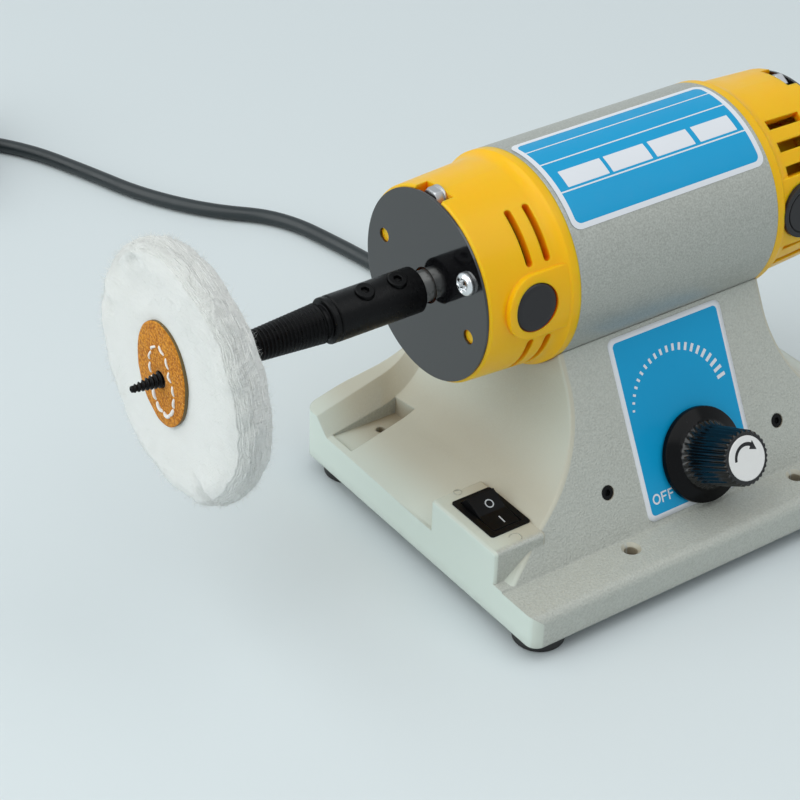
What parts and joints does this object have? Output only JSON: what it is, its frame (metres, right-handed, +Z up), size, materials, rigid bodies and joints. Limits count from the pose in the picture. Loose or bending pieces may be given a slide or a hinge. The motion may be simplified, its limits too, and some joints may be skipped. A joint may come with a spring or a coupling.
{
  "type": "bench polishing lathe",
  "caption": "Small bench polishing lathe: motor on a cast base with scooped ends, cloth buffing wheel on a tapered screw mandrel, speed knob, rocker switch and power cord.",
  "frame": {"origin": "middle of the machine's footprint at the surface the feet stand on, counting wheel, output shaft, base and knob but not the cord", "axes": "+X along the motor axis from the buffing wheel to the bare output shaft, +Y from the speed knob to the cord at the back, +Z up"},
  "size_m": [0.2628, 0.423, 0.1333],
  "materials": {
    "base_paint": "satin",
    "motor_body": "satin",
    "cap_plastic": "satin",
    "black_gloss": "gloss",
    "black_matte": "matte",
    "black_steel": "black oxide",
    "chrome": "polished",
    "steel": "machined",
    "copper": "wound wire and copper",
    "rubber": "matte",
    "cord": "satin",
    "cloth": "soft",
    "leather": "suede",
    "blue_label": "printed film",
    "white": "satin",
    "board": "circuit board",
    "brass": "nickel free"
  },
  "bodies": {
    "housing": {"base_casting": "base_paint", "bottom_cover": "steel", "rubber_feet": "rubber", "foot_screws": "steel", "panel_label": "blue_label", "panel_screws": "black_steel", "control_bracket": "steel", "control_pot": "steel", "control_nut": "steel", "speed_board": "board", "switch_housing": "black_gloss", "switch_terminals": "copper", "motor_shell": "motor_body", "motor_label": "blue_label", "left_end_cap": "cap_plastic", "right_end_cap": "cap_plastic", "left_end_plate": "black_gloss", "right_end_plate": "black_gloss", "end_plate_screws": "chrome", "tie_bolts": "steel", "tie_nuts": "steel", "port_plugs": "black_matte", "brush_holders": "copper", "carbon_brushes": "black_matte", "brush_springs": "steel", "brush_caps": "black_gloss", "stator_core": "steel", "field_coils": "copper", "motor_screws": "steel", "bearing_outer_rings": "steel", "strain_relief": "rubber", "power_cord": "cord", "cord_coil": "cord", "plug_body": "black_matte", "plug_pins": "brass"},
    "spindle": {"armature_shaft": "steel", "armature_core": "steel", "armature_winding": "copper", "commutator": "copper", "cooling_fan": "black_matte", "bearing_inner_rings": "steel", "coupling_sleeve": "black_steel", "set_screws": "black_steel", "screw_mandrel": "black_steel", "buffing_wheel": "cloth", "leather_discs": "leather"},
    "knob": {"speed_knob": "black_gloss", "knob_cap": "white", "control_shaft": "steel"},
    "rocker": {"switch_rocker": "black_gloss"}
  },
  "joints": [
    {"name": "spindle_spin", "type": "hinge", "parent": "housing", "child": "spindle", "pos_m": [0.04325, 0.01142, 0.0943], "axis": [1, 0, 0], "continuous": true},
    {"name": "speed_turn", "type": "hinge", "parent": "housing", "child": "knob", "pos_m": [0.04515, -0.03778, 0.0318], "axis": [0, -0.8854, 0.4648], "range_deg": [-270, 20]},
    {"name": "rocker_tilt", "type": "hinge", "parent": "housing", "child": "rocker", "pos_m": [-0.0271, -0.02358, 0.0275], "axis": [-1, 0, 0], "range_deg": [0, 30]}
  ]
}
